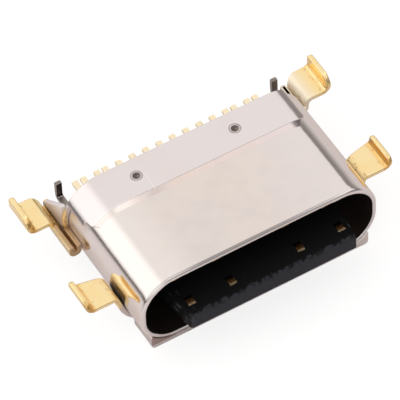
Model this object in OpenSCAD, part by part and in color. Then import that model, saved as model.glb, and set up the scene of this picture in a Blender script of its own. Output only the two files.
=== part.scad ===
// Mid-mount charging port: an oval receptacle that sinks into a cut-out at a board's edge.
// X runs across the mouth, +Y from the mouth to the rear and +Z up, in millimetres.

/* [Contacts] */
// Spacing of the contacts in a row
pitch = 0.5; // [0.45:0.01:0.6]
// Spacing of the two tails of each power and ground pair
pair_pitch = 0.3; // [0.26:0.01:0.36]
// Width of the power and ground contacts
wide_w = 0.26; // [0.2:0.01:0.32]
// Width of the signal contacts
signal_w = 0.2; // [0.16:0.01:0.28]
// Width of the tails
tail_w = 0.2; // [0.14:0.01:0.23]
// Thickness of the contact strip
contact_t = 0.12; // [0.08:0.01:0.16]
// Height of the contacts above the tongue's surface
contact_proud = 0.01; // [0:0.005:0.03]
// Setback of the power and ground tips behind the tongue's front
wide_setback = 0.43; // [0.38:0.01:0.8]
// Further setback of the signal tips
signal_setback = 0.75; // [0.2:0.01:1.2]
// Reach of the tails behind the tube
tail_reach = 1.27; // [0.9:0.01:1.6]

/* [Tongue and insulator] */
// Thickness of the tongue
tongue_t = 0.7; // [0.6:0.01:0.9]
// Reach of the tongue in front of the mouth
tongue_reach = 0.9; // [0.5:0.01:1.2]
// Tongue edge beyond the outermost contacts
tongue_edge = 0.465; // [0.4:0.005:0.6]
// Narrowing of each side at the tongue's front
taper_w = 0.345; // [0:0.005:0.36]
// Length of the narrowing front
taper_len = 2.7; // [2:0.01:3.2]
// Solid nose in front of the contact carriers
nose_len = 0.33; // [0.2:0.01:0.36]
// Chamfer along the nose
nose_chamfer = 0.14; // [0.05:0.01:0.2]
// Start of the side notches behind the tongue's front
notch_start = 2; // [1.6:0.01:2.2]
// Length of the side notches
notch_len = 0.6; // [0.4:0.01:0.8]
// Depth of the side notches
notch_depth = 0.24; // [0.15:0.01:0.26]
// Length of the moulded block inside the tube
block_len = 1.75; // [1.5:0.01:2.1]
// Reach of the moulded block behind the tube
block_reach = 0.25; // [0.15:0.01:0.35]
// Height of each contact carrier inside the block
carrier_h = 0.72; // [0.55:0.01:0.85]
// Clearance of the moulded block in the tube
mould_fit = 0.01; // [0.005:0.005:0.03]

/* [Mid plate] */
// Thickness of the plate
plate_t = 0.15; // [0.1:0.01:0.2]
// Width of the hooks
hook_w = 0.22; // [0.16:0.01:0.26]
// Rise of the hooks above the plate
hook_rise = 0.6; // [0.4:0.01:0.8]
// Reach of the hooks behind the tube
hook_reach = 1.17; // [0.9:0.01:1.25]
// Inset of the hooks from the mouth's sides
hook_inset = 0.15; // [0.13:0.01:0.2]

/* [Tube] */
// Room beside the tongue
side_room = 0.825; // [0.7:0.005:1]
// Room above and below the tongue
top_room = 0.93; // [0.85:0.01:1.1]
// Corner radius of the mouth
mouth_r = 1.1; // [0.8:0.01:1.15]
// Wall of the tube
tube_wall = 0.17; // [0.12:0.01:0.22]
// Length of the tube
tube_len = 4.68; // [4.5:0.01:5.4]

/* [Outer shell] */
// Thickness of the stamped sheet
sheet = 0.18; // [0.12:0.01:0.2]
// Clearance between the sheet and the tube
seat_fit = 0.01; // [0.005:0.005:0.03]
// Length of the rear band
band_len = 1.41; // [1.2:0.01:1.8]
// Length of the band's cut-back front corner
band_notch_len = 0.35; // [0.1:0.01:0.5]
// Height of the left front corner above the mouth's centre
band_notch_z = 1.05; // [1:0.01:1.2]
// Height of the band's left edge above the mouth's centre
band_left_z = 0.88; // [0.7:0.01:0.95]
// Distance of the band's right edge from the middle
band_right_x = 3.67; // [3.2:0.01:3.9]
// Length of the strap that wraps the whole tube
strap_len = 0.12; // [0.1:0.01:0.3]
// Place of the butt seam across the band
seam_x = -1.87; // [-2.5:0.01:2.5]
// Width of the butt seam's groove
seam_w = 0.03; // [0.01:0.01:0.06]
// Length of the butt seam's groove
seam_len = 0.8; // [0.5:0.01:1.1]
// Depth of the butt seam's groove
seam_depth = 0.04; // [0.02:0.01:0.06]
// Place of the left weld spot across the band
weld_left_x = -2.12; // [-2.8:0.01:-2.1]
// Place of the right weld spot across the band
weld_right_x = 1.51; // [1:0.01:2.5]
// Distance of the weld spots from the band's front edge
weld_setback = 0.73; // [0.5:0.01:0.9]
// Diameter of the ring around a weld spot
weld_d = 0.36; // [0.3:0.01:0.5]
// Diameter of the weld spot's crater
crater_d = 0.24; // [0.15:0.01:0.25]
// Depth of the weld spot's crater
crater_depth = 0.03; // [0.01:0.01:0.05]
// Inset of the tray's side edges from the tube's sides
tray_inset = 0.32; // [0.2:0.01:0.4]
// Radius of the tray's outer corners
tray_corner_r = 0.14; // [0.1:0.01:0.25]

/* [Wings] */
// Height of the solder plane above the mouth's centre
solder_z = 0.12; // [0.05:0.01:0.2]
// Outer reach of the wings beyond the tube's sides
wing_reach = 1.33; // [1.15:0.01:1.5]
// Start of the front wings behind the mouth
front_wing_y = 1.13; // [1:0.01:1.4]
// Length of the front wings
front_wing_len = 1.2; // [0.9:0.01:1.3]
// Gap between the tube's rear end and the rear wings
rear_wing_gap = 0.19; // [0.1:0.01:0.3]
// Length of the rear wings
rear_wing_len = 1.26; // [1:0.01:1.4]
// Height of the front wings' upturned lips above the solder plane
front_lip = 0.3; // [0.25:0.01:0.45]
// Height of the rear wings' upturned lips above the solder plane
rear_lip = 0.5; // [0.4:0.01:0.6]
// Small slope at a lip's corners
lip_cut = 0.08; // [0.02:0.01:0.15]
// Long slope at the front corners of the rear lips
long_cut = 0.34; // [0.1:0.01:0.38]
// Radius of the bend into the lip
lip_bend_r = 0.25; // [0.15:0.01:0.28]
// Reach of the front wings' roots beyond the tube's sides
root_reach = 0.25; // [0.22:0.01:0.34]
// Cut-back of the wings' rear edge at the root
root_cut = 0.17; // [0.05:0.01:0.25]
// Depth of the folded trough below the solder plane
trough_depth = 0.66; // [0.55:0.01:0.9]
// Width of the trough's bottom between its two walls
trough_w = 0.26; // [0.22:0.01:0.3]
// Outward lean of the trough's outer wall
trough_lean_w = 0.04; // [0.02:0.01:0.12]
// Length of the left trough in front of its wing
trough_lead = 1.12; // [0.7:0.01:1.3]
// Height of the left side panel behind the tube above the solder plane
panel_rise = 0.76; // [0.5:0.01:0.8]

/* [Hidden] */
ROW = 8;
$fn = 64;
BEND_STEPS = 8;

plated_steel = "gainsboro";
gold = "goldenrod";
black = "#202022";

// Places of a row's contacts on the tongue, in pitches from the middle
ROW_STEPS = [-5.5, -2.5, -1.5, -0.5, 0.5, 1.5, 2.5, 5.5];
// Places of the tails of the right half: signals first, then the power pair and the ground pair
upper_tails = [0.5 * pitch, 2.5 * pitch, 4.5 * pitch, 5.5 * pitch + pair_pitch];
lower_tails = [1.5 * pitch, 3.5 * pitch, 4.5 * pitch + pair_pitch, 5.5 * pitch + 2 * pair_pitch];

// Tongue and mouth
contact_edge = 5.5 * pitch + wide_w / 2;
tongue_half = contact_edge + tongue_edge;
tongue_front = -tongue_reach;
mouth_w = 2 * (tongue_half + side_room);
mouth_h = tongue_t + 2 * top_room;
mouth_half = mouth_w / 2;

// Tube
tube_w = mouth_w + 2 * tube_wall;
tube_h = mouth_h + 2 * tube_wall;
tube_r = mouth_r + tube_wall;
tube_half = tube_w / 2;
tube_low = -tube_h / 2;

// Moulded pieces
block_front = tube_len - block_len;
block_rear = tube_len + block_reach;
carrier_front = tongue_front + nose_len;
carrier_edge = 0.06;
carrier_half = contact_edge + carrier_edge;
carrier_step = 0.35;
carrier_root = block_front + carrier_step;
carrier_root_half = lower_tails[3] + tail_w / 2 + carrier_step;
carrier_proud = 0.05;
carrier_rear = block_rear + carrier_proud;
plate_half_t = plate_t / 2;
plate_inset = 0.02;
plate_bar_len = 0.6;
plate_rear = carrier_root + plate_bar_len;

// Contacts
contact_z = tongue_t / 2 + contact_proud - contact_t / 2;
tail_z = solder_z - contact_t / 2;
tail_tip = tube_len + tail_reach;
jog_lead = 0.05;
jog_front = carrier_root + jog_lead;
jog_rear = block_rear - carrier_step;
tail_lead = 0.04;
tail_bend = carrier_rear + tail_lead;

// Hooks
hook_x = mouth_half - hook_inset;
hook_rear = tube_len + hook_reach;

// Outer shell
sheet_in = tube_half + seat_fit;
floor_top = tube_low - seat_fit;
floor_z = floor_top - sheet / 2;
band_front = tube_len - band_len;
strap_front = tube_len - strap_len;
weld_y = band_front + weld_setback;
band_top = -floor_top + sheet;
groove_w = 0.04;

// Wings
plate_z = solder_z - sheet / 2;
lip_x = tube_half + wing_reach - sheet / 2;
front_lip_top = solder_z + front_lip;
rear_lip_top = solder_z + rear_lip;
root_bend_r = 0.18;
root_cut_w = 0.4;
root_cut_x = tube_half + root_reach + root_cut_w;
// Root of a front wing: it hugs the tube's lower curve, then runs straight up to the plate
hug_r = tube_r + seat_fit + sheet / 2;
hug_x = tube_half - tube_r;
hug_z = tube_r - tube_h / 2;
root_top_x = tube_half + root_reach;
root_top = [root_top_x - hug_x, plate_z - hug_z];
hug_a = atan2(root_top[1], root_top[0]) - acos(hug_r / norm(root_top));
root_low_x = hug_x + hug_r * tan((90 + hug_a) / 2);
// Tray: square outside, round the tube's lower curve inside
tray_half = tube_half - tray_inset;
tray_in_r = tube_r + seat_fit;
tray_edge = 0.07;
tray_a = -acos((tray_half - tray_edge - hug_x) / tray_in_r);
rear_wing_y = tube_len + rear_wing_gap;
rear_wing_end = rear_wing_y + rear_wing_len;
trough_front = rear_wing_y - trough_lead;
trough_in_x = sheet_in + sheet / 2;
trough_out_x = trough_in_x + trough_w;
trough_low = solder_z - trough_depth + sheet / 2;
trough_drop = 0.2;
trough_top = solder_z - trough_drop;
trough_flat = 0.02;
trough_bend_r = (trough_w - trough_flat) / 2;
wing_bend_r = 0.22;
// Part of the trough's outer wall that stands in front of the wing, from its bottom
trough_part = (trough_top - trough_low) / (plate_z - trough_low);
panel_run = 0.1;
panel_end = rear_wing_end - root_cut;

// Place of the part's own origin: under the middle of its box
front_y = tongue_front;
rear_y = max(rear_wing_end, tail_tip, hook_rear);
origin = [0, (front_y + rear_y) / 2, floor_top - sheet];

// Points of a path with one bend of radius r at the corner q, between the points p and s
function unit(v) = v / norm(v);
function bend(p, q, s, r) = let (
        u = unit(p - q),
        v = unit(s - q),
        half = acos(u * v) / 2,
        c = q + unit(u + v) * r / sin(half),
        from = q + u * r / tan(half) - c,
        to = q + v * r / tan(half) - c,
        a = atan2(from[1], from[0]),
        raw = atan2(to[1], to[0]) - a,
        turn = raw > 180 ? raw - 360 : raw < -180 ? raw + 360 : raw
    ) [for (i = [0:BEND_STEPS]) c + r * [cos(a + turn * i / BEND_STEPS), sin(a + turn * i / BEND_STEPS)]];

// Path through the corners, bent at each inner corner by the radius at the same place in the list
function bent_path(corners, radii) = concat(
    [corners[0]],
    [for (i = [1:len(corners) - 2]) each bend(corners[i - 1], corners[i], corners[i + 1], radii[i - 1])],
    [corners[len(corners) - 1]]
);

// Outline of a strip that follows a path, with a half-width at each of its points
function side_of(path, i) = let (
        d = unit(path[min(i + 1, len(path) - 1)] - path[max(i - 1, 0)])
    ) [-d[1], d[0]];
function strip(path, half) = concat(
    [for (i = [0:len(path) - 1]) path[i] + side_of(path, i) * half[i]],
    [for (i = [len(path) - 1:-1:0]) path[i] - side_of(path, i) * half[i]]
);
function sheet_strip(path) = strip(path, [for (p = path) sheet / 2]);

// Extrusions of an outline along one axis
module along_x(x0, x1) {
    translate([x0, 0, 0]) rotate([90, 0, 90]) linear_extrude(x1 - x0) children();
}

module along_y(y0, y1) {
    translate([0, y1, 0]) rotate([90, 0, 0]) linear_extrude(y1 - y0) children();
}

module along_z(z0, z1) {
    translate([0, 0, z0]) linear_extrude(z1 - z0) children();
}

module both_sides() {
    children();
    mirror([1, 0, 0]) children();
}

module placed() {
    translate(-origin) children();
}

module round_rect(w, h, r) {
    square([w, h - 2 * r], center = true);
    square([w - 2 * r, h], center = true);
    for (sx = [-1, 1], sy = [-1, 1]) {
        translate([sx * (w / 2 - r), sy * (h / 2 - r)]) circle(r);
    }
}

// Tube

module inner_shell() {
    color(plated_steel) placed() along_y(0, tube_len) difference() {
        round_rect(tube_w, tube_h, tube_r);
        round_rect(mouth_w, mouth_h, mouth_r);
    }
}

// Stamped outer shell

module wrap_outline() {
    gap = 2 * seat_fit;
    difference() {
        round_rect(tube_w + gap + 2 * sheet, tube_h + gap + 2 * sheet, tube_r + seat_fit + sheet);
        round_rect(tube_w + gap, tube_h + gap, tube_r + seat_fit);
    }
}

// Top part of the wrap, from a height on the left to a place across on the right
module band_outline(left_z) {
    intersection() {
        wrap_outline();
        polygon([
            [-tube_w, left_z], [0, left_z], [band_right_x, 0],
            [band_right_x, tube_h], [-tube_w, tube_h]
        ]);
    }
}

module band() {
    along_y(band_front, tube_len) band_outline(band_notch_z);
    along_y(band_front + band_notch_len, tube_len) band_outline(band_left_z);
    along_y(strap_front, tube_len) difference() {
        wrap_outline();
        translate([0, solder_z]) square([tube_w, tube_h]);
    }
}

module weld_spot(x) {
    ball_r = (pow(crater_d / 2, 2) + pow(crater_depth, 2)) / (2 * crater_depth);
    translate([x, weld_y, band_top]) {
        translate([0, 0, ball_r - crater_depth]) sphere(ball_r);
        rotate_extrude() translate([weld_d / 2, 0]) circle(groove_w / 2);
    }
}

module tray() {
    low = floor_top - sheet;
    corner = [tray_half - tray_corner_r, low + tray_corner_r];
    outside = [
        for (i = [0:BEND_STEPS]) let (a = -90 + 90 * i / BEND_STEPS)
            corner + tray_corner_r * [cos(a), sin(a)]
    ];
    inside = [
        for (i = [0:BEND_STEPS]) let (a = tray_a - (90 + tray_a) * i / BEND_STEPS)
            [hug_x, hug_z] + tray_in_r * [cos(a), sin(a)]
    ];
    both_sides() along_y(0, front_wing_y) polygon(concat(
        [[0, low]], outside, [[tray_half, inside[0][1]]], inside, [[0, floor_top]]
    ));
    along_y(0, tube_len) translate([tube_r - tube_half, floor_top - sheet]) {
        square([2 * (tube_half - tube_r), sheet]);
    }
}

// Side view of a wing, with the corners of its lip cut off
module wing_side(y0, y1, top, front_cut) {
    polygon([
        [y0, floor_top - sheet], [y1, floor_top - sheet], [y1, top - lip_cut],
        [y1 - lip_cut, top], [y0 + front_cut, top], [y0, top - front_cut]
    ]);
}

// Top view of a wing, cut back at the rear of its root
module wing_plan(y0, y1) {
    polygon([
        [0, y0], [lip_x + sheet, y0], [lip_x + sheet, y1], [root_cut_x, y1],
        [root_cut_x - root_cut_w, y1 - root_cut], [0, y1 - root_cut]
    ]);
}

module wing(path, y0, y1, top, front_cut) {
    intersection() {
        along_y(y0, y1) polygon(sheet_strip(path));
        along_x(0, lip_x + sheet) wing_side(y0, y1, top, front_cut);
        along_z(floor_top - sheet, top) wing_plan(y0, y1);
    }
}

module front_wing() {
    path = bent_path(
        [
            [0, floor_z], [root_low_x, floor_z], [root_top_x, plate_z],
            [lip_x, plate_z], [lip_x, front_lip_top]
        ],
        [hug_r, root_bend_r, lip_bend_r]
    );
    wing(path, front_wing_y, front_wing_y + front_wing_len, front_lip_top, lip_cut);
}

// Foot of the rear wing, from the inner wall round the bottom to a height on the outer wall
function trough_corners(part) = [
    [trough_in_x, trough_top], [trough_in_x, trough_low], [trough_out_x, trough_low],
    [trough_out_x + trough_lean_w * part, trough_low + (plate_z - trough_low) * part]
];

module trough() {
    path = bent_path(trough_corners(trough_part), [trough_bend_r, trough_bend_r]);
    along_y(trough_front, panel_end) polygon(sheet_strip(path));
}

// Link from the strap to the inner wall of a rear wing's foot
module side_link() {
    foot = trough_low + trough_bend_r;
    along_x(trough_in_x - sheet / 2, trough_in_x + sheet / 2) polygon([
        [strap_front, foot], [panel_end, foot], [panel_end, trough_top], [strap_front, trough_top]
    ]);
}

// Upright panel on the link behind the tube, which slopes down to the rear
module side_panel() {
    top = solder_z + panel_rise;
    foot = trough_low + trough_bend_r;
    along_x(trough_in_x - sheet / 2, trough_in_x + sheet / 2) polygon([
        [tube_len, foot], [panel_end, foot], [panel_end, trough_top],
        [tube_len + panel_run, top], [tube_len, top]
    ]);
}

module rear_wing() {
    path = bent_path(
        concat(trough_corners(1), [[lip_x, plate_z], [lip_x, rear_lip_top]]),
        [trough_bend_r, trough_bend_r, wing_bend_r, lip_bend_r]
    );
    wing(path, rear_wing_y, rear_wing_end, rear_lip_top, long_cut);
}

module outer_shell() {
    color(plated_steel) placed() difference() {
        union() {
            band();
            tray();
            both_sides() {
                front_wing();
                side_link();
                rear_wing();
            }
            mirror([1, 0, 0]) {
                side_panel();
                trough();
            }
        }
        translate([seam_x - seam_w / 2, band_front - sheet, band_top - seam_depth]) {
            cube([seam_w, seam_len + sheet, sheet]);
        }
        weld_spot(weld_left_x);
        weld_spot(weld_right_x);
    }
}

// Contacts, numbered from left to right

function is_wide(i) = abs(ROW_STEPS[i - 1]) > 2;
function row_tail(tails, i) = i > ROW / 2 ? tails[i - 1 - ROW / 2] : -tails[ROW / 2 - i];

module contact(i, level, tails) {
    x0 = ROW_STEPS[i - 1] * pitch;
    x1 = row_tail(tails, i);
    front_half = (is_wide(i) ? wide_w : signal_w) / 2;
    tip = tongue_front + wide_setback + (is_wide(i) ? 0 : signal_setback);
    rise = abs(tail_z - level);
    plan = [[x0, tip], [x0, jog_front], [x1, jog_rear], [x1, tail_bend]];
    side = [[jog_rear, level], [tail_bend, level], [tail_bend + rise, tail_z], [tail_tip, tail_z]];
    along_z(level - contact_t / 2, level + contact_t / 2) {
        polygon(strip(plan, [front_half, front_half, tail_w / 2, tail_w / 2]));
    }
    along_x(x1 - tail_w / 2, x1 + tail_w / 2) polygon(strip(side, [for (p = side) contact_t / 2]));
}

module upper_contact(i) {
    color(gold) placed() contact(i, contact_z, upper_tails);
}

module lower_contact(i) {
    color(gold) placed() contact(i, -contact_z, lower_tails);
}

module upper_row() {
    for (i = [1:ROW]) contact(i, contact_z, upper_tails);
}

module lower_row() {
    for (i = [1:ROW]) contact(i, -contact_z, lower_tails);
}

// Mid plate

module tongue_outline(inset) {
    half = tongue_half - inset;
    front_half = half - taper_w;
    taper_end = tongue_front + taper_len;
    notch_y = tongue_front + notch_start;
    notch_x = tongue_half - taper_w * (taper_len - notch_start) / taper_len - notch_depth;
    difference() {
        polygon([
            [-front_half, tongue_front], [front_half, tongue_front], [half, taper_end],
            [half, carrier_root], [-half, carrier_root], [-half, taper_end]
        ]);
        both_sides() translate([notch_x, notch_y]) square([tongue_half, notch_len]);
    }
}

module plate_body() {
    hook_y = hook_rear - plate_half_t;
    along_z(-plate_half_t, plate_half_t) {
        intersection() {
            tongue_outline(plate_inset);
            translate([-tongue_half, carrier_front]) square([2 * tongue_half, tube_len]);
        }
        translate([-hook_x - hook_w / 2, block_front + mould_fit]) {
            square([2 * hook_x + hook_w, plate_rear - block_front]);
        }
    }
    both_sides() along_x(hook_x - hook_w / 2, hook_x + hook_w / 2) polygon(strip(
        bent_path(
            [[plate_rear, 0], [hook_y, 0], [hook_y, plate_half_t + hook_rise]],
            [plate_t]
        ),
        [for (i = [0:BEND_STEPS + 2]) plate_half_t]
    ));
}

module mid_plate() {
    color(plated_steel) placed() plate_body();
}

// Moulded pieces

module carrier_body(z0, z1) {
    along_z(z0, z1) {
        translate([-carrier_half, carrier_front]) square([2 * carrier_half, carrier_rear - carrier_front]);
    }
}

module carrier_root_body(z0, z1) {
    along_z(z0, z1) {
        translate([-carrier_root_half, carrier_root]) {
            square([2 * carrier_root_half, carrier_rear - carrier_root]);
        }
    }
}

module upper_carrier_body() {
    carrier_body(plate_half_t, tongue_t / 2);
    carrier_root_body(plate_half_t, plate_half_t + carrier_h);
}

module lower_carrier_body() {
    carrier_body(-tongue_t / 2, -plate_half_t);
    carrier_root_body(-plate_half_t - carrier_h, -plate_half_t);
}

module upper_carrier() {
    color(black) placed() difference() {
        upper_carrier_body();
        upper_row();
    }
}

module lower_carrier() {
    color(black) placed() difference() {
        lower_carrier_body();
        lower_row();
    }
}

module nose_side() {
    z = tongue_t / 2;
    polygon([
        [tongue_front, -z + nose_chamfer], [tongue_front + nose_chamfer, -z], [tube_len, -z],
        [tube_len, z], [tongue_front + nose_chamfer, z], [tongue_front, z - nose_chamfer]
    ]);
}

module housing() {
    fit = 2 * mould_fit;
    color(black) placed() difference() {
        union() {
            along_y(block_front, block_rear) round_rect(mouth_w - fit, mouth_h - fit, mouth_r - mould_fit);
            intersection() {
                along_z(-tongue_t / 2, tongue_t / 2) tongue_outline(0);
                along_x(-tongue_half, tongue_half) nose_side();
            }
        }
        upper_carrier_body();
        lower_carrier_body();
        plate_body();
        upper_row();
        lower_row();
    }
}

inner_shell();
outer_shell();
housing();
upper_carrier();
lower_carrier();
mid_plate();
for (i = [1:ROW]) {
    upper_contact(i);
    lower_contact(i);
}
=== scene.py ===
import math

import bmesh
import bpy
from mathutils import Matrix, Vector


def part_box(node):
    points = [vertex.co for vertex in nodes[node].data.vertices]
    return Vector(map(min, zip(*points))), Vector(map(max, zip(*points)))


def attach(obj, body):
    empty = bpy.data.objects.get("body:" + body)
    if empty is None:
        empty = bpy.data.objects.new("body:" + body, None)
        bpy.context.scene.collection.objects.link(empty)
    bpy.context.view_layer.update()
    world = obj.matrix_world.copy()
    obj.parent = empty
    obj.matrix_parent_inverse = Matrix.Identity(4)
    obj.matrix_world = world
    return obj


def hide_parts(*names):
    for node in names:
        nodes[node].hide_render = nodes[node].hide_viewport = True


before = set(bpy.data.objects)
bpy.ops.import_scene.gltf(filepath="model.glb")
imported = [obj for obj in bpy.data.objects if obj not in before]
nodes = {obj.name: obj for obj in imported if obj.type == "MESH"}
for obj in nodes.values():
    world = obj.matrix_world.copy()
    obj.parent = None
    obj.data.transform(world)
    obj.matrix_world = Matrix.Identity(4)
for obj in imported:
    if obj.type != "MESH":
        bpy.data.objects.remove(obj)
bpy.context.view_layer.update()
scene = bpy.context.scene

# Lengths are in millimetres from the middle of the mouth; put() gives the frame in metres
MM = 0.001
tube_lo, tube_hi = (Vector(c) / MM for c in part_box("inner_shell"))
MID_Y = -tube_lo.y
MID_Z = (tube_lo.z + tube_hi.z) / 2


def put(x, y, z):
    return Vector((x * MM, (y - MID_Y) * MM, (z + MID_Z) * MM))


# Sizes of the tube and the sheet around it
TUBE_HALF = tube_hi.x
TUBE_HIGH = (tube_hi.z - tube_lo.z) / 2
TUBE_LEN = tube_hi.y - tube_lo.y
TUBE_R = 1.27
TUBE_WALL = 0.17
RIM_OUT_R = 0.1
RIM_IN_R = 0.03
SHEET = 0.18
SEAT = 0.01
CORNER_X = TUBE_HALF - TUBE_R
CORNER_Z = TUBE_HIGH - TUBE_R
WRAP_R = TUBE_R + SEAT + SHEET / 2
FLOOR_Z = -TUBE_HIGH - SEAT - SHEET / 2

# Sizes of the band
BAND_FRONT = 3.27
BAND_LEFT_Z = 0.88
BAND_RIGHT_X = 3.67
BAND_NOTCH_Z = 1.05
BAND_NOTCH = 0.35
BAND_NOTCH_SOFT = 0.03
BAND_CORNER = 0.09
BAND_CORNER_W = 0.22
BAND_SINK = 0.02
STRAP_FRONT = 4.56
SEAM_X = -1.87
SEAM_END = 4.05
SEAM_HALF = 0.01
SEAM_LINE = 0.012
SEAM_STEP = 0.015
WELD_Y = 4.0
WELDS_X = (-2.12, 1.51)
WELD_CORE_R = 0.115
WELD_RING_R = 0.18

# Sizes of the wings, the trough and the side panel
SOLDER_Z = 0.12
PLATE_Z = SOLDER_Z - SHEET / 2
FRONT_WING = (1.13, 2.33)
REAR_WING = (4.87, 6.13)
WING_GAP = (3.4, 3.6)
WING_REACH = 1.32
LIP_X = TUBE_HALF + WING_REACH - SHEET / 2
LIP_BEND = 0.25
FRONT_LIP_TOP = SOLDER_Z + 0.3
REAR_LIP_TOP = SOLDER_Z + 0.5
LIP_CUT = 0.08
FRONT_CUT = 0.2
LONG_CUT = 0.34
LIP_ROUND = 0.07
ROOT_X = TUBE_HALF + 0.25
ROOT_CUT = 0.17
ROOT_CUT_W = 0.4
FRONT_ROOT_BEND = 0.18
REAR_ROOT_BEND = 0.22
TROUGH_IN_X = TUBE_HALF + SEAT + SHEET / 2
TROUGH_OUT_X = TROUGH_IN_X + 0.26
TROUGH_BEND = 0.12
TROUGH_LEAN = 0.04
TROUGH_LOW = SOLDER_Z - 0.66 + SHEET / 2
TROUGH_TOP = SOLDER_Z - 0.2
TROUGH_FRONT = 3.75
TROUGH_LAP = 0.08
PANEL_TOP = SOLDER_Z + 0.76
PANEL_FLAT = 0.1
PANEL_CUT = 0.06
LINK_CUT = 0.04

# Sizes of the tray
TRAY_HALF = TUBE_HALF - 0.32
TRAY_CORNER = 0.14
TRAY_EDGE = 0.07
TRAY_LEN = 1.13

# Widths of the softened edges, depth of the scuffs, and distances under which points count as one
SHEET_SOFT = 0.03
BAND_SOFT = 0.04
WING_SOFT = 0.06
CONTACT_SOFT = 0.02
SOLID_SOFT = 0.025
SCUFF_DEPTH = 0.012
WELD_GAP = 0.002
POINT_GAP = 0.0001


# Materials

class Shader:
    """Short forms for a node material's tree."""

    def __init__(self, tree):
        self.tree = tree

    def node(self, kind, **values):
        n = self.tree.nodes.new(kind)
        for key, value in values.items():
            setattr(n, key, value)
        return n

    def link(self, out, into):
        self.tree.links.new(out, into)

    def feed(self, socket, value):
        if hasattr(value, "is_output"):
            self.link(value, socket)
        else:
            socket.default_value = value

    def math(self, op, a, b=0.0):
        n = self.node("ShaderNodeMath", operation=op)
        self.feed(n.inputs[0], a)
        self.feed(n.inputs[1], b)
        return n.outputs[0]

    def times(self, *values):
        out = values[0]
        for v in values[1:]:
            out = self.math("MULTIPLY", out, v)
        return out

    def ramp(self, value, low, high, start=0.0, end=1.0):
        n = self.node("ShaderNodeMapRange", interpolation_type="SMOOTHSTEP")
        for i, v in enumerate((value, low, high, start, end)):
            self.feed(n.inputs[i], v)
        return n.outputs[0]

    def between(self, value, low, high, soft):
        """1 from low to high, with soft edges outside."""
        rise = self.ramp(value, low - soft, low)
        return self.math("MULTIPLY", rise, self.ramp(value, high, high + soft, 1.0, 0.0))

    def mix(self, fac, a, b):
        n = self.node("ShaderNodeMix", data_type="RGBA")
        self.feed(n.inputs[0], fac)
        self.feed(n.inputs[6], a)
        self.feed(n.inputs[7], b)
        return n.outputs[2]

    def tint(self, base, color, *factors):
        """Base taken towards a colour by the product of the factors."""
        return self.mix(self.times(*factors), base, color)

    def noise(self, vector, scale, detail=3.0):
        n = self.node("ShaderNodeTexNoise")
        self.feed(n.inputs["Vector"], vector)
        n.inputs["Scale"].default_value = scale
        n.inputs["Detail"].default_value = detail
        return n.outputs["Fac"]

    def place(self, offset=(0, 0, 0), scale=(1, 1, 1)):
        """Position in millimetres from the middle of the mouth, shifted and stretched."""
        geo = self.node("ShaderNodeNewGeometry")
        m = self.node("ShaderNodeMapping", vector_type="POINT")
        self.link(geo.outputs["Position"], m.inputs["Vector"])
        base = (0.0, MID_Y, -MID_Z)
        m.inputs["Location"].default_value = [(base[i] - offset[i]) * scale[i] for i in range(3)]
        m.inputs["Scale"].default_value = [scale[i] / MM for i in range(3)]
        return m.outputs["Vector"]

    def axis(self, vector):
        n = self.node("ShaderNodeSeparateXYZ")
        self.link(vector, n.inputs[0])
        return n.outputs

    def length(self, vector):
        n = self.node("ShaderNodeVectorMath", operation="LENGTH")
        self.link(vector, n.inputs[0])
        return n.outputs["Value"]

    def bump(self, height, distance, strength):
        n = self.node("ShaderNodeBump")
        n.inputs["Strength"].default_value = strength
        n.inputs["Distance"].default_value = distance * MM
        self.link(height, n.inputs["Height"])
        return n.outputs["Normal"]


def rgb(r, g, b):
    return (r, g, b, 1.0)


def shader_of(owner):
    """Empty node tree of a material or the world."""
    owner.use_nodes = True
    owner.node_tree.nodes.clear()
    return Shader(owner.node_tree)


def surface(build):
    """Material named after the function that builds it."""
    m = bpy.data.materials.new(build.__name__)
    s = shader_of(m)
    p = s.node("ShaderNodeBsdfPrincipled")
    build(s, p)
    out = s.node("ShaderNodeOutputMaterial")
    s.link(p.outputs[0], out.inputs[0])
    return m


def scuffs(s):
    """Fine marks along and across the metal, 0 to 1."""
    along = s.noise(s.place(scale=(9, 1.3, 9)), 3.0, 4)
    fine = s.noise(s.place(), 22.0)
    return s.math("ADD", s.times(along, 0.6), s.times(fine, 0.4))


def scuffed(s, marks, low, high):
    """Roughness that goes from low to high with the marks."""
    return s.ramp(marks, 0.3, 0.7, low, high)


def metal(s, p, base, rough, height, strength, metallic=1.0):
    s.feed(p.inputs["Base Color"], base)
    s.feed(p.inputs["Metallic"], metallic)
    s.feed(p.inputs["Roughness"], rough)
    s.feed(p.inputs["Normal"], s.bump(height, SCUFF_DEPTH, strength))


def nickel_base(s, color, warm):
    """Nickel with soft clouds and a few small spots."""
    base = s.mix(s.ramp(s.noise(s.place(), 0.55, 2), 0.35, 0.7), color, warm)
    spots = s.ramp(s.noise(s.place(offset=(3, 1, 2)), 5.5, 2), 0.71, 0.78)
    return s.tint(base, rgb(0.45, 0.40, 0.36), spots, 0.16)


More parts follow.
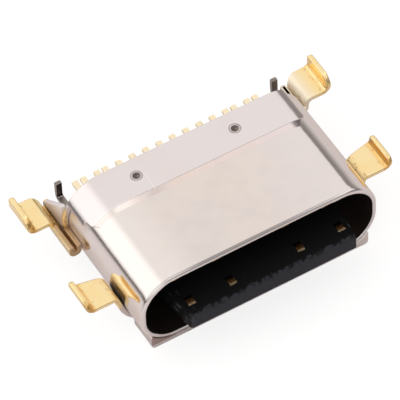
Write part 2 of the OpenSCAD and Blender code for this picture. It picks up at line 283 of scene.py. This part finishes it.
def tube_nickel(s, p):
    """Tube: painted shade on the rim's upper rounding, painted highlights on its right and lower
    edges, painted light at the sides, dull at its rear sides.
    """
    marks = scuffs(s)
    x, y, z = s.axis(s.place())
    base = nickel_base(s, rgb(0.80, 0.745, 0.715), rgb(0.82, 0.75, 0.69))
    clouds = s.ramp(s.noise(s.place(offset=(2, 5, 1)), 1.5, 4), 0.38, 0.66)
    base = s.tint(base, rgb(0.71, 0.66, 0.645), clouds, 0.3)
    # Painted shade: dark grey on the rim's outer rounding along its upper side, short of the right
    # end.
    rounding = s.times(s.ramp(y, RIM_OUT_R + 0.02, RIM_OUT_R - 0.02), s.ramp(y, 0.02, 0.035))
    upper = s.times(s.ramp(z, 0.3, 0.9), s.ramp(x, 3.3, 2.6))
    base = s.tint(base, rgb(0.25, 0.235, 0.23), rounding, upper, 0.9)
    # Painted highlights on the rim's front edge: bluish white at the right, warm white along the
    # bottom.
    edge = s.ramp(y, 0.06, 0.03)
    base = s.tint(base, rgb(0.78, 0.81, 0.86), edge, s.ramp(x, 3.2, 3.8), 0.8)
    base = s.tint(base, rgb(1.0, 0.97, 0.95), edge, s.ramp(z, -1.22, -1.3), 0.8)
    # Painted light: lighter towards the left, and lighter and pinker towards the right.
    base = s.tint(base, rgb(0.96, 0.91, 0.88), s.ramp(x, -1.9, -3.3), 0.5)
    base = s.tint(base, rgb(0.84, 0.79, 0.79), s.ramp(x, 0.0, 3.5), 0.6)
    rear = s.ramp(y, 3.3, 3.8)
    corner = s.times(rear, s.ramp(x, 3.8, 3.95))
    dull = s.math("MAXIMUM", s.times(rear, s.ramp(x, -4.0, -4.2), 0.3), s.times(corner, 0.45))
    rough = s.math("ADD", scuffed(s, marks, 0.07, 0.14), dull)
    metal(s, p, base, rough, marks, 0.12, s.ramp(corner, 0.0, 1.0, 1.0, 0.35))


def tube_inside_shade(s, p):
    """Tube's inner wall: nickel painted nearly black as shade, with a faint brown."""
    marks = scuffs(s)
    base = nickel_base(s, rgb(0.022, 0.016, 0.014), rgb(0.032, 0.022, 0.018))
    metal(s, p, base, scuffed(s, marks, 0.4, 0.5), marks, 0.12, 0.35)
    p.inputs["Specular IOR Level"].default_value = 0.1


def band_nickel(s, p):
    """Band: weld spots with painted glints; a faint painted highlight along the seam and on the
    front edge at the left.
    """
    marks = scuffs(s)
    x, y, _ = s.axis(s.place())
    base = nickel_base(s, rgb(0.83, 0.785, 0.785), rgb(0.82, 0.765, 0.755))
    height = s.times(marks, 0.15)
    rough = scuffed(s, marks, 0.1, 0.15)
    # Painted highlight: a light line along the seam, fading out towards the rear.
    seam = s.between(x, SEAM_X - SEAM_LINE, SEAM_X + SEAM_LINE, SEAM_LINE)
    fading = s.ramp(y, SEAM_END - 0.2, SEAM_END, 1.0, 0.0)
    base = s.tint(base, rgb(0.95, 0.92, 0.9), seam, fading, 0.5)
    # Painted highlight on the band's front edge at the left.
    corner = s.times(s.ramp(y, BAND_FRONT + 0.06, BAND_FRONT + 0.03), s.ramp(x, -2.3, -3.0))
    base = s.tint(base, rgb(1.0, 0.98, 0.96), corner, 0.85)
    for weld in WELDS_X:
        d = s.length(s.place(offset=(weld, WELD_Y, 0), scale=(1, 1, 0)))
        core = s.ramp(d, WELD_CORE_R, WELD_CORE_R + 0.035, 1.0, 0.0)
        ring = s.between(d, WELD_RING_R, WELD_RING_R + 0.016, 0.02)
        inside = s.ramp(d, WELD_RING_R, WELD_RING_R + 0.02, 1.0, 0.0)
        glint = s.length(s.place(offset=(weld + 0.05, WELD_Y - 0.045, 0), scale=(1, 1, 0)))
        base = s.tint(base, rgb(0.4, 0.34, 0.32), inside, 0.22)
        base = s.tint(base, rgb(0.105, 0.078, 0.07), core, 0.95)
        base = s.tint(base, rgb(0.34, 0.29, 0.25), s.ramp(glint, 0.01, 0.09, 1.0, 0.0), 0.75)
        base = s.tint(base, rgb(0.17, 0.13, 0.125), ring, 0.62)
        rough = s.math("ADD", rough, s.times(core, 0.25))
        height = s.math("SUBTRACT", height, s.math("ADD", core, s.times(ring, 0.6)))
    metal(s, p, base, rough, height, 0.6)


def tray_nickel(s, p):
    """Tray: painted brown shade at its left front corner, in the gap beside the tube; painted light
    at the right.
    """
    marks = scuffs(s)
    x, y, z = s.axis(s.place())
    base = nickel_base(s, rgb(0.74, 0.685, 0.665), rgb(0.70, 0.645, 0.61))
    # Painted shade: brown in the gap at the left front corner beside the tube.
    corner = s.times(s.ramp(y, 0.04, 0.02), s.ramp(z, -1.5, -1.44), s.ramp(x, -2.4, -3.1))
    base = s.tint(base, rgb(0.36, 0.25, 0.21), corner, 0.8)
    # Painted light: paler towards the right.
    base = s.tint(base, rgb(0.95, 0.92, 0.91), s.ramp(x, 3.0, 3.5), 0.6)
    metal(s, p, base, scuffed(s, marks, 0.17, 0.24), marks, 0.12)


def lip_fold_shade_and_blotches(s, base, across, x, y, z):
    """Lips: painted amber shade in their folds, less at the right rear; brown blotches on their
    front ends.
    """
    # Painted shade: amber in the lip's fold below its top, weaker at the right rear.
    lip_top = s.ramp(y, *WING_GAP, FRONT_LIP_TOP, REAR_LIP_TOP)
    under_top = s.ramp(s.math("SUBTRACT", lip_top, z), 0.03, 0.1)
    fold = s.times(
        s.ramp(across, LIP_X - 0.3, LIP_X - 0.17),
        s.ramp(across, LIP_X + 0.05, LIP_X - 0.02),
    )
    right_rear = s.times(s.ramp(x, 0.0, 1.0), s.ramp(y, *WING_GAP))
    amber = s.ramp(right_rear, 0.0, 1.0, 0.85, 0.25)
    base = s.tint(base, rgb(0.90, 0.54, 0.16), fold, under_top, amber)
    from_front = s.math("SUBTRACT", y, s.ramp(y, *WING_GAP, FRONT_WING[0], REAR_WING[0]))
    front_end = s.times(s.ramp(from_front, 0.34, 0.12), s.ramp(across, LIP_X - 0.21, LIP_X - 0.11))
    blotches = s.ramp(s.noise(s.place(), 3.5, 3), 0.38, 0.58)
    brown = s.ramp(x, -0.1, 0.1, 0.75, 0.35)
    return s.tint(base, rgb(0.56, 0.32, 0.10), front_end, blotches, brown)


def wing_gold(s, p):
    """Wings: gold plate over nickel, painted brown shade in the trough, painted light at the right
    rear root.
    """
    marks = scuffs(s)
    x, y, z = s.axis(s.place())
    across = s.math("ABSOLUTE", x)
    fade = s.math("ADD", s.times(s.noise(s.place(), 2.2, 2), 0.4), z)
    plated = s.times(s.ramp(fade, -0.5, -0.15), s.ramp(across, TUBE_HALF + 0.02, TUBE_HALF + 0.1))
    clouds = s.ramp(s.noise(s.place(), 1.7, 2), 0.35, 0.7)
    gold = s.mix(clouds, rgb(1.0, 0.79, 0.40), rgb(1.0, 0.82, 0.46))
    base = nickel_base(s, rgb(0.76, 0.70, 0.68), rgb(0.72, 0.66, 0.62))
    base = lip_fold_shade_and_blotches(s, s.tint(base, gold, plated), across, x, y, z)

    # Painted shade: brown in the trough.
    trough = s.times(
        s.between(y, TROUGH_FRONT - 0.05, REAR_WING[0] - 0.01, 0.1),
        s.ramp(across, TROUGH_OUT_X + 0.15, TROUGH_OUT_X + 0.05),
        s.ramp(z, TROUGH_TOP + 0.18, TROUGH_TOP + 0.03),
    )
    base = s.tint(base, rgb(0.50, 0.33, 0.20), trough, 0.8)

    right_rear = s.times(s.ramp(x, TUBE_HALF - 0.14, TUBE_HALF - 0.04), s.ramp(y, 4.4, 4.5))
    root = s.times(right_rear, s.ramp(x, TROUGH_OUT_X + 0.55, TROUGH_OUT_X))
    foot = s.times(
        right_rear,
        s.ramp(x, TROUGH_OUT_X, TROUGH_OUT_X - 0.14),
        s.ramp(z, TROUGH_TOP + 0.12, TROUGH_TOP - 0.02),
    )
    # Painted light: the right rear root is pale cream with little metal; the foot beside it is tan
    # grey and dull.
    base = s.tint(base, rgb(0.98, 0.90, 0.74), root, 0.85)
    base = s.tint(base, rgb(0.60, 0.52, 0.47), foot, 0.9)

    # Brown streaks along the lip folds and the roots: streaky marks, and painted shade in these
    # creases.
    streaks = s.ramp(s.noise(s.place(scale=(7, 2.2, 7)), 2.4, 3), 0.56, 0.66)
    at_fold = s.between(across, LIP_X - 0.27, LIP_X - 0.17, 0.05)
    at_root = s.between(across, TUBE_HALF + 0.06, TUBE_HALF + 0.34, 0.04)
    base = s.tint(base, rgb(0.40, 0.20, 0.06), streaks, s.math("MAXIMUM", at_fold, at_root), 0.65)

    outward = (TUBE_HALF + 0.26, TUBE_HALF + 0.46)
    low = s.ramp(across, *outward, 0.42, 0.16)
    high = s.ramp(across, *outward, 0.52, 0.26)
    rough = s.math("ADD", scuffed(s, marks, low, high), s.times(root, 0.2))
    dull = s.math("MAXIMUM", s.times(root, 0.55), s.times(foot, 0.85))
    metal(s, p, base, rough, marks, 0.25, s.math("SUBTRACT", 1.0, dull))


def panel_nickel(s, p):
    """Side panel: dull nickel, with a painted brown reflection towards its lower front; the right
    link is pale gold, painted light.
    """
    marks = scuffs(s)
    x, y, z = s.axis(s.place())
    base = nickel_base(s, rgb(0.82, 0.78, 0.81), rgb(0.78, 0.73, 0.74))
    # Painted reflection: brown, from the gold nearby, towards the lower front.
    low = s.ramp(s.math("ADD", s.times(y, 0.55), z), 3.55, 2.7)
    base = s.tint(base, rgb(0.50, 0.36, 0.24), low, 0.8)
    # Painted light: the right link is pale gold.
    base = s.tint(base, rgb(1.0, 0.90, 0.68), s.ramp(x, 0.0, 1.0))
    metal(s, p, base, scuffed(s, marks, 0.4, 0.5), marks, 0.25, 0.3)


def plate_steel(s, p):
    """Mid plate: dark plated steel."""
    marks = scuffs(s)
    base = nickel_base(s, rgb(0.30, 0.27, 0.25), rgb(0.24, 0.21, 0.19))
    metal(s, p, base, scuffed(s, marks, 0.27, 0.34), marks, 0.12)


def contact_gold(s, p):
    """Gold plate at the tips and on the tails; along the tongue, painted shade darkens it to brown
    and then near black.
    """
    marks = scuffs(s)
    y = s.axis(s.place())[1]
    gold = s.mix(s.noise(s.place(), 2.4), rgb(1.0, 0.91, 0.68), rgb(1.0, 0.86, 0.58))
    # Painted shade: from just behind the tips the contacts go brown, then near black, rougher and
    # without metal, up to the tails.
    dark = s.between(y, -0.06, 4.2, 0.1)
    painted_shading = s.mix(s.ramp(y, -0.36, -0.14), rgb(0.45, 0.22, 0.07), rgb(0.0055, 0.0055, 0.006))
    base = s.mix(s.ramp(y, -0.42, -0.36), rgb(1.0, 0.76, 0.46), painted_shading)
    base = s.tint(base, gold, s.ramp(y, 4.2, 4.7))
    rough = s.math("ADD", scuffed(s, marks, 0.24, 0.3), s.times(dark, 0.2))
    metal(s, p, base, rough, marks, 0.05, s.ramp(dark, 0.0, 1.0, 1.0, 0.0))
    p.inputs["Specular IOR Level"].default_value = 0.05


def insulator_black(s, p):
    """Black moulded plastic; the tongue's front face is painted lighter grey, as lit, with a ragged
    edge, and its front ends have light grey streaks.
    """
    grain = s.noise(s.place(), 14.0, 4)
    patches = s.noise(s.place(), 6.0, 3)
    x, y, _ = s.axis(s.place())
    base = s.mix(grain, rgb(0.004, 0.004, 0.0043), rgb(0.007, 0.007, 0.0075))
    painted_shading = s.mix(grain, rgb(0.019, 0.02, 0.024), rgb(0.045, 0.047, 0.055))
    # Painted light: the tongue's front face is lighter grey, with a ragged edge on top.
    ragged = s.math("ADD", y, s.ramp(patches, 0.4, 0.65, 0.0, -0.1))
    base = s.tint(base, painted_shading, s.ramp(ragged, -0.78, -0.89))
    # Light grey streaks at both ends of the tongue, near its front.
    end_streaks = s.ramp(s.noise(s.place(scale=(7, 1.3, 7)), 2.0, 3), 0.59, 0.66)
    ends = s.math("MAXIMUM", s.ramp(x, 2.6, 3.2), s.ramp(x, -2.7, -3.2))
    base = s.tint(base, rgb(0.11, 0.125, 0.12), end_streaks, s.ramp(y, 0.6, 0.1), ends, 0.7)
    s.feed(p.inputs["Base Color"], base)
    s.feed(p.inputs["Roughness"], s.ramp(grain, 0.3, 0.7, 0.42, 0.55))
    s.feed(p.inputs["Normal"], s.bump(grain, 0.01, 0.35))
    p.inputs["Specular IOR Level"].default_value = 0.05


TUBE = surface(tube_nickel)
TUBE_INSIDE_SHADE = surface(tube_inside_shade)
BAND = surface(band_nickel)
TRAY = surface(tray_nickel)
PANEL = surface(panel_nickel)
WING = surface(wing_gold)
PLATE = surface(plate_steel)
CONTACT = surface(contact_gold)
BLACK = surface(insulator_black)


# Paths in X and Z

def bend(p, q, s, r, steps=10):
    """Points round a corner q, between the points p and s, with radius r."""
    u, v = (p - q).normalized(), (s - q).normalized()
    half = math.acos(max(-1, min(1, u.dot(v)))) / 2
    c = q + (u + v).normalized() * r / math.sin(half)
    a, b = q + u * r / math.tan(half) - c, q + v * r / math.tan(half) - c
    start = math.atan2(a.y, a.x)
    turn = (math.atan2(b.y, b.x) - start + math.pi) % (2 * math.pi) - math.pi
    angles = [start + turn * i / steps for i in range(steps + 1)]
    return [c + r * Vector((math.cos(t), math.sin(t))) for t in angles]


def bent_path(corners, radii):
    """Path through the corners, bent at each inner corner by its radius."""
    pts = [Vector(c) for c in corners]
    out = [pts[0]]
    for i, r in enumerate(radii):
        out += bend(pts[i], pts[i + 1], pts[i + 2], r)
    return out + [pts[-1]]


def arc(cx, cz, r, a0, a1, steps=28):
    """Points round a centre, from the angle a0 to a1 in degrees."""
    angles = [math.radians(a0 + (a1 - a0) * i / steps) for i in range(steps + 1)]
    return [Vector((cx + r * math.cos(t), cz + r * math.sin(t))) for t in angles]


def flat(z, *places):
    """Points at one height."""
    return [Vector((x, z)) for x in places]


def flip(path):
    """The same path on the other side."""
    return [Vector((-p.x, p.y)) for p in path]


def smooth(t):
    """Smooth step from 0 to 1."""
    t = min(1, max(0, t))
    return t * t * (3 - 2 * t)


# Pieces

def soften(obj, width, segments=3, angle=38):
    """Round the edges that are sharper than the angle."""
    b = obj.modifiers.new("edge", "BEVEL")
    b.width = width * MM
    b.segments = segments
    b.limit_method = "ANGLE"
    b.angle_limit = math.radians(angle)
    b.use_clamp_overlap = True
    b.harden_normals = True
    n = obj.modifiers.new("normals", "WEIGHTED_NORMAL")
    n.keep_sharp = True
    n.weight = 60


def piece(name, verts, faces, materials):
    """Mesh from points in millimetres, on the root body."""
    mesh = bpy.data.meshes.new(name)
    mesh.from_pydata([put(*v) for v in verts], [], faces)
    for m in materials:
        mesh.materials.append(m)
    for f in mesh.polygons:
        f.use_smooth = True
    obj = bpy.data.objects.new(name, mesh)
    scene.collection.objects.link(obj)
    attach(obj, "root")
    return obj


def sheet_piece(name, verts, faces, material, soft, thick=SHEET):
    """Piece of the stamped sheet, thickened about its middle face."""
    obj = piece(name, verts, faces, [material])
    s = obj.modifiers.new("sheet", "SOLIDIFY")
    s.thickness = thick * MM
    s.offset = 0
    s.use_even_offset = True
    soften(obj, soft)
    return obj


def strip(name, path, y_front, y_rear, material, rows=5, soft=SHEET_SOFT, thick=SHEET):
    """Sheet along a path; y_front and y_rear are its edges, as numbers or functions of a point."""
    verts, faces = [], []
    # A doubled point would hold back the softening of the edges
    path = [p for p, q in zip(path, path[1:]) if (p - q).length > POINT_GAP] + [path[-1]]
    for p in path:
        a = y_front(p) if callable(y_front) else y_front
        b = y_rear(p) if callable(y_rear) else y_rear
        verts += [(p.x, a + (b - a) * k / (rows - 1), p.y) for k in range(rows)]
    for i in range(len(path) - 1):
        for k in range(rows - 1):
            j = i * rows + k
            faces.append((j, j + 1, j + rows + 1, j + rows))
    return sheet_piece(name, verts, faces, material, soft, thick)


def outline(inset):
    """Outline of the tube's section, drawn in from its outer face."""
    pts = []
    for sx, sz, a in ((1, 1, 0), (-1, 1, 90), (-1, -1, 180), (1, -1, 270)):
        pts += arc(sx * CORNER_X, sz * CORNER_Z, TUBE_R - inset, a, a + 90, 26)
    return pts


def tube():
    """Outlines carried forward outside, round the rim and back inside."""
    outside_rows = (TUBE_LEN, 3.4, 2.2, 1.0, 0.3)
    inside_rows = (0.3, 1.2, 2.4, TUBE_LEN)
    sharp = math.radians(50)
    turns = [(math.cos(a), math.sin(a)) for a in map(math.radians, (0, 22, 45, 67, 90))]
    rings = [(0.0, y) for y in outside_rows]
    rings += [(RIM_OUT_R - RIM_OUT_R * c, RIM_OUT_R - RIM_OUT_R * s) for c, s in turns]
    rings += [(TUBE_WALL - RIM_IN_R + RIM_IN_R * s, RIM_IN_R - RIM_IN_R * c) for c, s in turns]
    inside = len(rings)
    rings += [(TUBE_WALL, y) for y in inside_rows]
    verts, faces, dark = [], [], []
    for inset, y in rings:
        verts += [(p.x, y, p.y) for p in outline(inset)]
    n = len(outline(0.0))
    for i in range(len(rings)):
        nxt = (i + 1) % len(rings)
        for k in range(n):
            faces.append((i * n + k, i * n + (k + 1) % n, nxt * n + (k + 1) % n, nxt * n + k))
            # The inner wall's faces take the material painted as shade.
            dark.append(inside - 1 <= i < len(rings) - 1)
    obj = piece("tube", verts, faces, [TUBE, TUBE_INSIDE_SHADE])
    for f, d in zip(obj.data.polygons, dark):
        f.material_index = 1 if d else 0
    bm = bmesh.new()
    bm.from_mesh(obj.data)
    bmesh.ops.recalc_face_normals(bm, faces=bm.faces)
    for e in bm.edges:
        if len(e.link_faces) == 2 and e.calc_face_angle() > sharp:
            e.smooth = False
    bm.to_mesh(obj.data)
    bm.free()
    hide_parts("inner_shell")


def band():
    """Band over the tube's rear, sunk a little into the tube, and the strap under it."""
    mid_r = WRAP_R - BAND_SINK
    top = CORNER_Z + mid_r
    left_a = math.degrees(math.asin((BAND_LEFT_Z - CORNER_Z) / WRAP_R))
    right_a = math.degrees(math.acos((BAND_RIGHT_X - CORNER_X) / WRAP_R))
    left = arc(-CORNER_X, CORNER_Z, mid_r, 180 - left_a, 90, 40)
    right = arc(CORNER_X, CORNER_Z, mid_r, 90, right_a)
    middle = flat(top, -2.6, SEAM_X - SEAM_HALF, SEAM_X + SEAM_HALF, -0.6, 0.8, 2.0)

    def front(p):
        below = smooth((BAND_NOTCH_Z + BAND_NOTCH_SOFT - p.y) / (2 * BAND_NOTCH_SOFT))
        notch = BAND_NOTCH * below if p.x < 0 else 0
        corner = BAND_CORNER * max(0, (p.x - BAND_RIGHT_X + BAND_CORNER_W) / BAND_CORNER_W) ** 2
        step = SEAM_STEP if p.x < SEAM_X else 0
        return BAND_FRONT + notch + corner + step

    strap = flat(SOLDER_Z, CORNER_X + WRAP_R)
    strap += arc(CORNER_X, -CORNER_Z, WRAP_R, 0, -90)
    strap += arc(-CORNER_X, -CORNER_Z, WRAP_R, -90, -180)
    strap += arc(-CORNER_X, CORNER_Z, WRAP_R, 180, 180 - left_a)
    over, thick = left + middle + right, SHEET + 2 * BAND_SINK
    return [
        strip("band", over, front, TUBE_LEN, BAND, rows=6, soft=BAND_SOFT, thick=thick),
        strip("strap", strap, STRAP_FRONT, TUBE_LEN, WING),
    ]


def wing_edges(y0, y1, top, front_cut):
    """Edges of a wing: the rear is cut back at the root, and both slope at the lip's corners."""
    def cut(p, depth):
        if abs(p.x) < LIP_X - LIP_BEND:
            return 0
        return depth * min(1, max(0, (p.y - (top - depth)) / depth)) ** 1.5

    def front(p):
        return y0 + cut(p, front_cut)

    def rear(p):
        at_root = smooth((ROOT_X + ROOT_CUT_W - abs(p.x)) / ROOT_CUT_W)
        return y1 - cut(p, LIP_CUT) - ROOT_CUT * at_root

    return front, rear


def lip(top, steps=6):
    """Rise of a lip above its bend; its last step leaves room for the rounded edge."""
    low, high = PLATE_Z + LIP_BEND, top - LIP_ROUND
    heights = [low + (high - low) * i / steps for i in range(1, steps + 1)]
    return [Vector((LIP_X, z)) for z in heights + [top]]


def front_wing_path():
    """The root hugs the tube's lower curve, then runs straight up to the plate."""
    top = Vector((ROOT_X - CORNER_X, PLATE_Z + CORNER_Z))
    hug_a = math.degrees(math.atan2(top.y, top.x) - math.acos(WRAP_R / top.length))
    root = arc(CORNER_X, -CORNER_Z, WRAP_R, -90, hug_a, 18)
    plate = flat(PLATE_Z, ROOT_X, LIP_X) + [Vector((LIP_X, PLATE_Z + LIP_BEND))]
    bends = bent_path(root[-1:] + plate, [FRONT_ROOT_BEND, LIP_BEND])
    return root[:-1] + bends + lip(FRONT_LIP_TOP)


def trough_foot():
    """Corners of the folded foot, from beside the tube to the plate."""
    return [
        Vector((TROUGH_IN_X, TROUGH_TOP)), Vector((TROUGH_IN_X, TROUGH_LOW)),
        Vector((TROUGH_OUT_X, TROUGH_LOW)), Vector((TROUGH_OUT_X + TROUGH_LEAN, PLATE_Z)),
    ]


def rear_wing_path():
    """The folded foot, the plate and the lip."""
    plate = [Vector((LIP_X, PLATE_Z)), Vector((LIP_X, PLATE_Z + LIP_BEND))]
    radii = [TROUGH_BEND, TROUGH_BEND, REAR_ROOT_BEND, LIP_BEND]
    return bent_path(trough_foot() + plate, radii) + lip(REAR_LIP_TOP)


def trough_path():
    """The folded foot alone, with both its walls up to the trough's top."""
    a, b, c, d = trough_foot()
    part = (TROUGH_TOP - TROUGH_LOW) / (PLATE_Z - TROUGH_LOW)
    return bent_path([a, b, c, c.lerp(d, part)], [TROUGH_BEND, TROUGH_BEND])


def side_panel(name, x, tall):
    """Link from the strap to a rear wing; the tall one rises behind the tube and slopes down."""
    foot = TROUGH_LOW + TROUGH_BEND
    rear = REAR_WING[1] - ROOT_CUT
    profile = [(STRAP_FRONT, foot), (rear, foot)]
    profile += [(rear, TROUGH_TOP - PANEL_CUT), (rear - PANEL_CUT, TROUGH_TOP)]
    if tall:
        profile += [(TUBE_LEN + PANEL_FLAT, PANEL_TOP), (TUBE_LEN, PANEL_TOP)]
        profile.append((TUBE_LEN, TROUGH_TOP))
    profile += [(STRAP_FRONT + LINK_CUT, TROUGH_TOP), (STRAP_FRONT, TROUGH_TOP - LINK_CUT)]
    verts = [(x, y, z) for y, z in profile]
    return sheet_piece(name, verts, [tuple(range(len(verts)))], PANEL, SHEET_SOFT)


def wings():
    """Four wings, the links behind the tube and the trough at the left."""
    def wing(name, path, edges):
        return strip(name, path, *edges, WING, rows=9, soft=WING_SOFT)

    out = []
    for side, turn in (("right", list), ("left", flip)):
        edges = wing_edges(*FRONT_WING, FRONT_LIP_TOP, FRONT_CUT)
        out.append(wing(f"front_wing_{side}", turn(front_wing_path()), edges))
        edges = wing_edges(*REAR_WING, REAR_LIP_TOP, LONG_CUT)
        out.append(wing(f"rear_wing_{side}", turn(rear_wing_path()), edges))
    out.append(side_panel("side_link", TROUGH_IN_X, False))
    out.append(side_panel("side_panel", -TROUGH_IN_X, True))
    out.append(strip("trough", flip(trough_path()), TROUGH_FRONT, REAR_WING[0] + TROUGH_LAP, WING))
    return out


def tray():
    """Tray under the mouth, square outside and round the tube inside, and the floor behind it."""
    low = FLOOR_Z - SHEET / 2
    inner_r = TUBE_R + SEAT
    top_a = math.degrees(math.acos((TRAY_HALF - TRAY_EDGE - CORNER_X) / inner_r))
    inside = arc(CORNER_X, -CORNER_Z, inner_r, -top_a, -90, 18)
    half = arc(TRAY_HALF - TRAY_CORNER, low + TRAY_CORNER, TRAY_CORNER, -90, 0, 8)
    half += flat(inside[0].y, TRAY_HALF) + inside
    section = half + flip(reversed(half))
    rows = (0.0, 0.4, 0.8, TRAY_LEN)
    n = len(section)
    verts = [(p.x, y, p.y) for y in rows for p in section]
    faces = [tuple(range(n)), tuple(reversed(range(len(verts) - n, len(verts))))]
    for i in range(len(rows) - 1):
        for k in range(n):
            j, nxt = i * n + k, i * n + (k + 1) % n
            faces.append((nxt, j, j + n, nxt + n))
    front = piece("tray", verts, faces, [TRAY])
    soften(front, SHEET_SOFT)
    under = flat(FLOOR_Z, -CORNER_X, -1.5, 0, 1.5, CORNER_X)
    return [front, strip("tray_floor", under, TRAY_LEN, STRAP_FRONT, TRAY, rows=4)]


def dress_solids():
    """Solids that stay as they are, with softened edges and their own materials."""
    for name, obj in nodes.items():
        if name in ("inner_shell", "outer_shell"):
            continue
        contact = "contact" in name
        obj.data.materials.clear()
        obj.data.materials.append(CONTACT if contact else PLATE if name == "mid_plate" else BLACK)
        w = obj.modifiers.new("weld", "WELD")
        w.merge_threshold = WELD_GAP * MM
        soften(obj, CONTACT_SOFT if contact else SOLID_SOFT, segments=2, angle=30)


tube()
shell = band() + wings() + tray()
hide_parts("outer_shell")
dress_solids()


# Floor, surroundings and camera

def floor():
    """White floor with a faint shadow; metal mirrors it pale, tan at the right, dark far left."""
    mesh = bpy.data.meshes.new("floor")
    half = 0.6
    corners = [(-half, -half, 0), (half, -half, 0), (half, half, 0), (-half, half, 0)]
    mesh.from_pydata(corners, [], [(0, 1, 2, 3)])
    m = bpy.data.materials.new("floor_white")
    s = shader_of(m)
    path = s.node("ShaderNodeLightPath")
    x = s.axis(s.place())[0]
    mirrored = s.mix(s.ramp(x, -45.0, -8.0), rgb(0.22, 0.20, 0.20), rgb(0.80, 0.77, 0.78))
    mirrored = s.mix(s.ramp(x, -3.0, 4.0), mirrored, rgb(0.75, 0.70, 0.685))
    color = s.mix(path.outputs["Is Camera Ray"], rgb(0.8, 0.8, 0.8), rgb(0.28, 0.28, 0.28))
    d = s.node("ShaderNodeBsdfDiffuse")
    s.feed(d.inputs["Color"], s.mix(path.outputs["Is Glossy Ray"], color, mirrored))
    e = s.node("ShaderNodeEmission")
    s.feed(e.inputs["Color"], rgb(1, 1, 1))
    s.feed(e.inputs["Strength"], s.times(path.outputs["Is Camera Ray"], 0.79))
    add = s.node("ShaderNodeAddShader")
    s.link(d.outputs[0], add.inputs[0])
    s.link(e.outputs[0], add.inputs[1])
    out = s.node("ShaderNodeOutputMaterial")
    s.link(add.outputs[0], out.inputs[0])
    mesh.materials.append(m)
    obj = bpy.data.objects.new("floor", mesh)
    scene.collection.objects.link(obj)


def surroundings():
    """Soft studio: bright at the left, a dark flag at the right, a dark line low at the left."""
    w = bpy.data.worlds.new("studio")
    scene.world = w
    s = shader_of(w)
    tc = s.node("ShaderNodeTexCoord")
    x, y, z = s.axis(tc.outputs["Generated"])
    sky = s.mix(s.ramp(z, 0.0, 0.6), rgb(0.78, 0.75, 0.73), rgb(0.95, 0.91, 0.89))
    bright = s.times(s.ramp(x, -0.15, -0.45), s.ramp(z, 0.06, 0.2))
    sky = s.mix(bright, sky, rgb(1.26, 1.22, 1.2))
    right = s.ramp(x, 0.45, 0.6)
    sky = s.mix(s.times(right, s.ramp(z, 0.25, 0.1)), sky, rgb(0.75, 0.70, 0.685))
    front = s.times(s.ramp(y, 0.0, -0.4), s.ramp(x, -0.2, 0.1))
    sky = s.mix(front, sky, s.mix(s.ramp(z, 0.6, 0.7), rgb(0.36, 0.35, 0.36), rgb(1.24, 1.2, 1.19)))
    flag = s.times(s.ramp(z, 0.0, 0.4), s.ramp(z, 0.485, 0.515, 1.0, 0.0), right)
    sky = s.mix(s.times(flag, 0.85), sky, rgb(0.17, 0.145, 0.13))
    line = s.times(s.between(z, -0.02, 0.045, 0.02), s.ramp(x, -0.3, -0.5))
    sky = s.mix(s.times(line, 0.9), sky, rgb(0.10, 0.085, 0.08))
    path = s.node("ShaderNodeLightPath")
    sky = s.mix(path.outputs["Is Camera Ray"], sky, rgb(1, 1, 1))
    b = s.node("ShaderNodeBackground")
    s.feed(b.inputs["Color"], sky)
    out = s.node("ShaderNodeOutputWorld")
    s.link(b.outputs[0], out.inputs[0])


def camera():
    """Camera at the photograph's viewing angle; its shift is the object's offset in the picture."""
    az, el, roll = (math.radians(a) for a in (-28.74, 51.53, -2.63))
    right = Vector((math.cos(az), math.sin(az), 0))
    back = Vector((math.sin(az) * math.cos(el), -math.cos(az) * math.cos(el), math.sin(el)))
    up = back.cross(right)
    turned = math.cos(roll) * right + math.sin(roll) * up
    up = math.cos(roll) * up - math.sin(roll) * right
    shift_x, shift_y = 1.905, -2.021
    distance = 150.0
    focal_px, image_px, sensor = 4758.5, 400, 36
    eye = -shift_x * turned - shift_y * up + distance * back
    c = bpy.data.cameras.new("camera")
    c.sensor_width = sensor
    c.lens = focal_px / image_px * sensor
    c.clip_start = 0.01
    c.clip_end = 5
    obj = bpy.data.objects.new("camera", c)
    scene.collection.objects.link(obj)
    m = Matrix((turned, up, back)).transposed().to_4x4()
    m.translation = put(*eye)
    obj.matrix_world = m
    scene.camera = obj


floor()
surroundings()
camera()
scene.view_settings.view_transform = "Standard"
